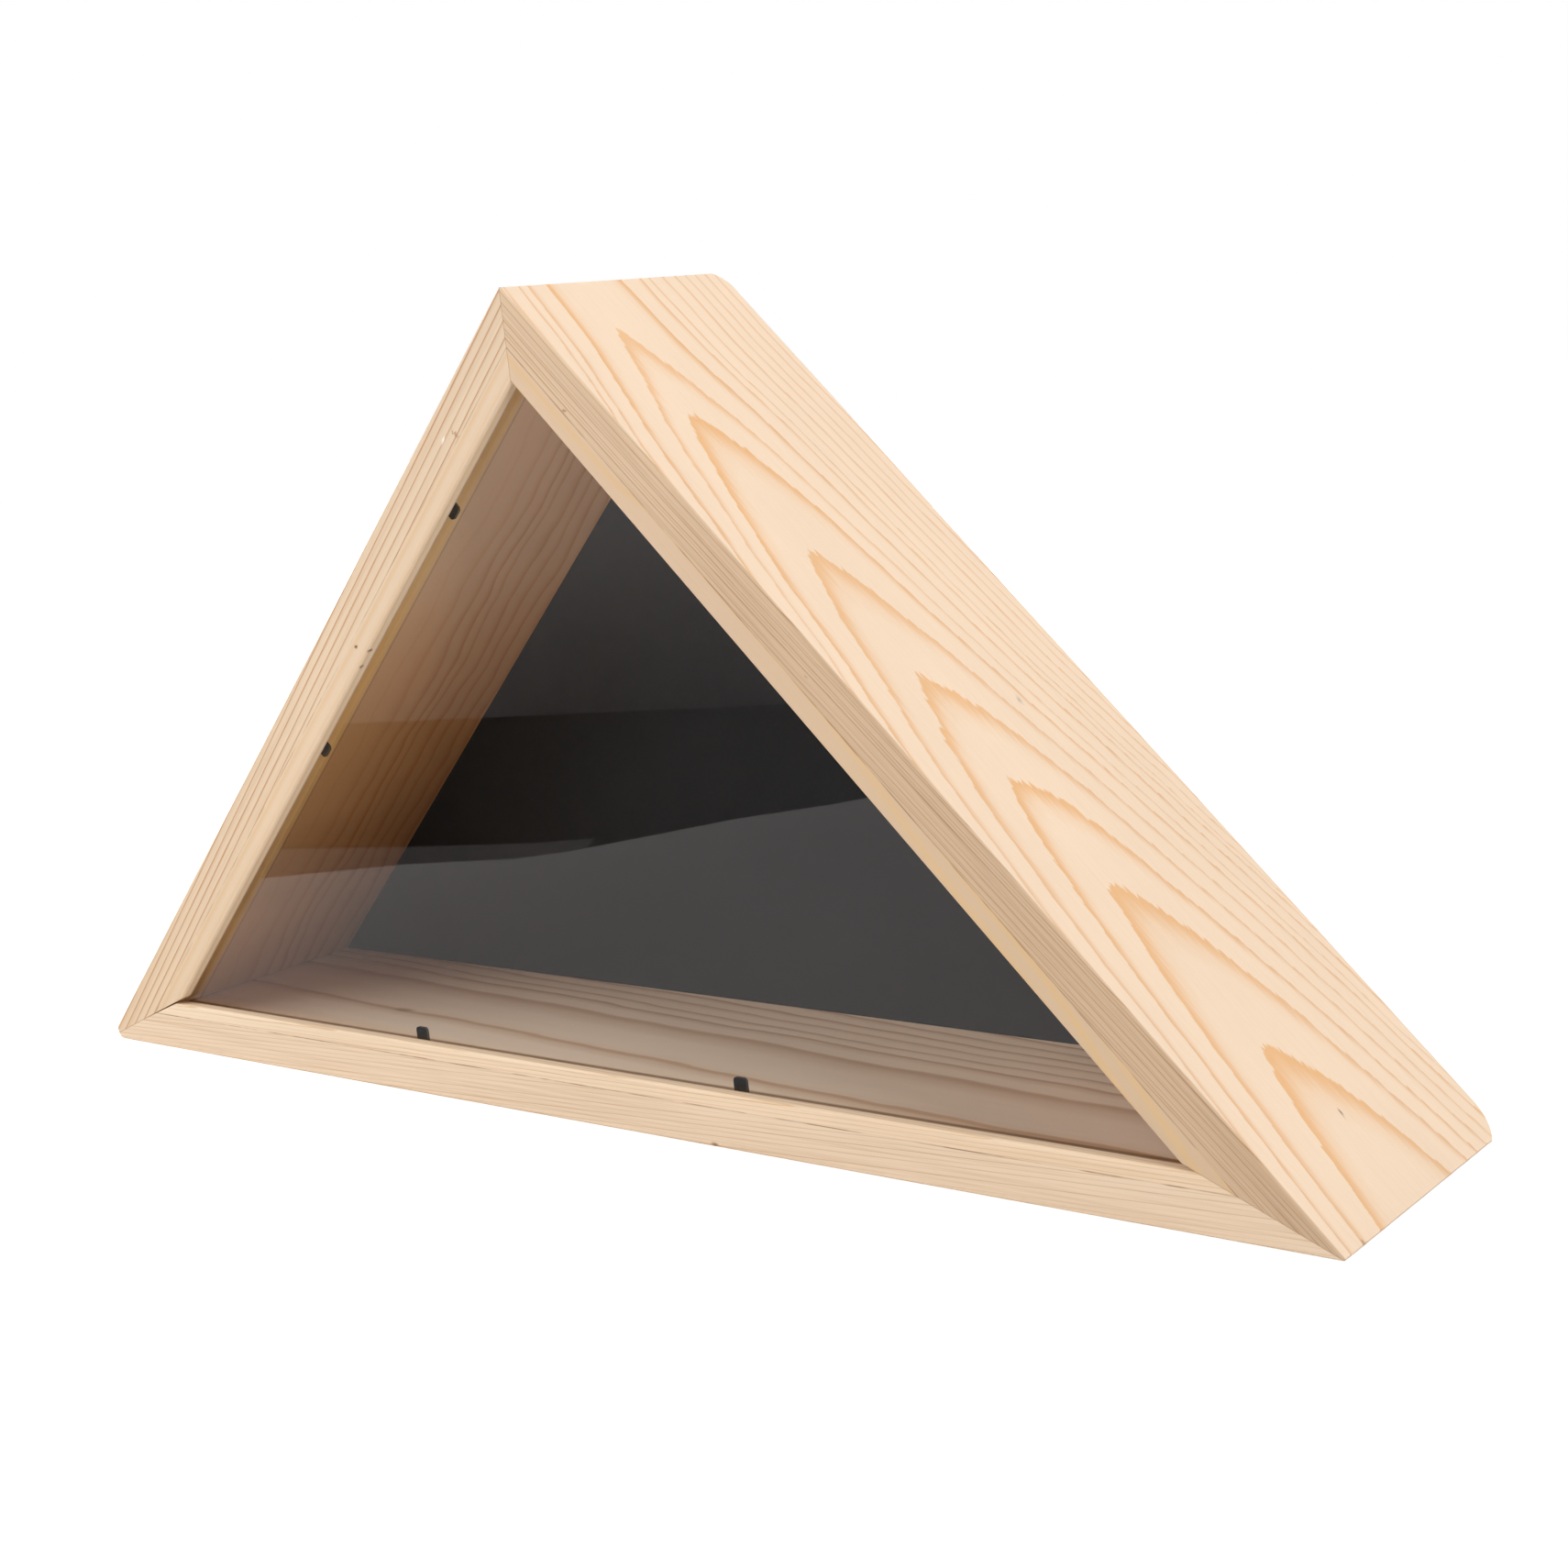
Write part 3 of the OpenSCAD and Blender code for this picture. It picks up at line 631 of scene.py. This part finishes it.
scuffRough = addNode(tree, "MapRange", None, {"Value": scuff, "To": zinc["roughness"]})
shader = addNode(tree, "BsdfPrincipled", None, {
    "Base Color": plate, "Metallic": 1.0, "Roughness": scuffRough})
addNode(tree, "OutputMaterial", None, {"Surface": shader})
hardware = [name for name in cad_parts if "button" in name or "screw" in name or "nail" in name]
wearMaterial(material, *hardware)
print("pane, panel and hardware done")


# 1 for rays that see a surface straight, mirrored or through the pane, and 0 for those that gather its light
def seenRays(tree):
    rays = addNode(tree, "LightPath")
    seen = rays.outputs["Is Camera Ray"]
    for ray in ("Is Transmission Ray", "Is Glossy Ray"):
        seen = addNode(tree, "Math", {"operation": "MAXIMUM"}, {0: seen, 1: rays.outputs[ray]})
    return seen


# Matt white paper: no gloss, and only a soft shadow shows on it.
studio = {
    "floor": "EDECEA", "white": "FFFFFF",
    "floorRadius": 4.0,          # metres
    "floorSides": 64,
    "floorGlow": 0.45,           # white added to what is seen of the floor, so that only deep shadow shows
    "whiteOut": (0.3, 1.0),      # metres out, where the lamps no longer reach, so that no horizon shows
    "worldStrength": 0.12,
    "cardWhite": "FFF9F8",
}
bm = bmesh.new()
bmesh.ops.create_circle(bm, cap_ends=True, segments=studio["floorSides"], radius=studio["floorRadius"])
floorMesh = bpy.data.meshes.new("floor")
bm.to_mesh(floorMesh)
bm.free()
floor = bpy.data.objects.new("floor", floorMesh)
scene.collection.objects.link(floor)
material, tree = newMaterial("white paper floor")
paper = addNode(tree, "BsdfDiffuse", None, {"Color": linearColour(studio["floor"])})
place = addNode(tree, "TexCoord")
reach = addNode(tree, "VectorMath", {"operation": "LENGTH"}, {0: place.outputs["Object"]})
glow = addNode(tree, "MapRange", softly, {
    "Value": reach.outputs["Value"], "From": studio["whiteOut"], "To": (studio["floorGlow"], 1.0)})
glow = addNode(tree, "Math", {"operation": "MULTIPLY"}, {0: seenRays(tree), 1: glow})
glow = addNode(tree, "Emission", None, {"Color": linearColour(studio["white"]), "Strength": glow})
surface = addNode(tree, "AddShader", None, {0: paper, 1: glow})
addNode(tree, "OutputMaterial", None, {"Surface": surface})
floorMesh.materials.append(material)

# What the pane mirrors: a table top and its edge, the dark gap beyond and a wall that brightens upwards and
# to the left. Corners are in metres, and a level is a brightness or a line of (height, brightness).
mirrored = {
    "gapCard": {"outline": [(-4, -4), (4, -4), (4, 4), (-4, 4)], "height": 0.0002, "level": 0.003},
    "tableEdgeCard": {
        "outline": [(-1.60, 0.40), (-0.432, -0.227), (-0.390, -0.243), (-0.339, -0.260), (-0.286, -0.281),
                    (-0.265, -0.295), (-0.20, -0.2), (-1.4, 0.8)],
        "height": 0.0004, "level": 0.17,
    },
    "tableCard": {
        "outline": [(-1.50, 0.62), (-0.360, -0.199), (-0.315, -0.235), (-0.272, -0.256), (-0.258, -0.272),
                    (-0.245, -0.298), (-0.225, -0.340), (-0.201, -0.372), (-0.192, -0.388), (0.90, -1.90),
                    (3.0, -1.5), (3.0, 3.0), (-1.5, 3.0)],
        "height": 0.0006, "level": 0.48,
        "leftGlow": (-0.12, -0.42, 0.22),     # from where to where it brightens, and how much
    },
    "wallCard": {
        "corners": [(-3.28, 0.545, 0.001), (2.30, -1.615, 0.001), (2.30, -1.615, 0.26), (-3.28, 0.545, 0.26)],
        "level": [(0, 0.08), (0.023, 0.14), (0.053, 0.23), (0.084, 0.36), (0.112, 0.47), (0.14, 0.58),
                  (0.26, 0.98)],
        "leftGlow": (-0.48, -0.64, 0.13),
    },
}


# only mirrored rays see a card, also those that turn back inside the sheet
def mirroredCard(name, look):
    corners = look["corners"] if "corners" in look else [(x, y, look["height"]) for x, y in look["outline"]]
    bm = bmesh.new()
    bm.faces.new([bm.verts.new(corner) for corner in corners])
    mesh = bpy.data.meshes.new(name)
    bm.to_mesh(mesh)
    bm.free()
    card = bpy.data.objects.new(name, mesh)
    scene.collection.objects.link(card)
    material, tree = newMaterial(name + " paint")
    level = look["level"]
    if "leftGlow" in look:
        place = addNode(tree, "TexCoord")
        spot = addNode(tree, "SeparateXYZ", None, {0: place.outputs["Object"]})
        if isinstance(level, list):
            level = readOff(tree, spot.outputs["Z"], level)
        start, end, most = look["leftGlow"]
        leftwards = addNode(tree, "MapRange", softly, {
            "Value": spot.outputs["X"], "From": (start, end), "To": (0.0, most)})
        level = addNode(tree, "Math", {"operation": "ADD"}, {0: level, 1: leftwards})
    light = addNode(tree, "Emission", None, {
        "Color": linearColour(studio["cardWhite"]), "Strength": level})
    clear = addNode(tree, "BsdfTransparent")
    rays = addNode(tree, "LightPath")
    seen = addNode(tree, "Math", {"operation": "GREATER_THAN"}, {
        0: rays.outputs["Glossy Depth"], 1: 0.5})   # one bounce or more
    seen = addNode(tree, "Math", {"operation": "MAXIMUM"}, {0: seen, 1: rays.outputs["Is Reflection Ray"]})
    paint = addNode(tree, "MixShader", None, {"Fac": seen, 1: clear, 2: light})
    addNode(tree, "OutputMaterial", None, {"Surface": paint})
    mesh.materials.append(material)
    card.visible_camera = card.visible_diffuse = card.visible_shadow = False


for name, look in mirrored.items():
    mirroredCard(name, look)

world = bpy.data.worlds.new("studio")
scene.world = world
world.use_nodes = True
tree = world.node_tree
tree.nodes.clear()
strength = addNode(tree, "MapRange", None, {"Value": seenRays(tree), "To": (studio["worldStrength"], 1.0)})
background = addNode(tree, "Background", None, {"Strength": strength, "Color": linearColour(studio["white"])})
addNode(tree, "OutputWorld", None, {"Surface": background})

# where each soft lamp stands and what it faces, in metres, its side and its watts
lamps = {
    "keyLamp": {"place": (0.55, -0.08, 1.50), "facing": (0, 0, 0), "size": 0.9, "power": 13.6},
    "sideLamp": {"place": (1.96, -0.34, 0.10), "facing": (0, 0, 0), "size": 0.5, "power": 16.0},
    "fillLamp": {"place": (-0.81, -0.96, 0.82), "facing": (0, 0, 0), "size": 1.7, "power": 21.2},
    # light that a bright table throws up from in front
    "bounceLamp": {"place": (0.12, -0.32, 0.003), "facing": (0.12, -0.32, 1), "size": 0.5, "power": 0.18},
    "rearLamp": {"place": (-0.95, 1.5, 0.34), "facing": (0, 0, 0.1), "size": 0.8, "power": 22.0},
}
for name, lamp in lamps.items():
    lampData = bpy.data.lights.new(name, "AREA")
    lampData.size = lamp["size"]
    lampData.energy = lamp["power"]
    lampObject = bpy.data.objects.new(name, lampData)
    lampObject.location = lamp["place"]
    aim = Vector(lamp["facing"]) - Vector(lamp["place"])
    lampObject.rotation_euler = aim.to_track_quat("-Z", "Y").to_euler()
    lampObject.visible_camera = lampObject.visible_glossy = lampObject.visible_transmission = False
    scene.collection.objects.link(lampObject)
print("studio set")
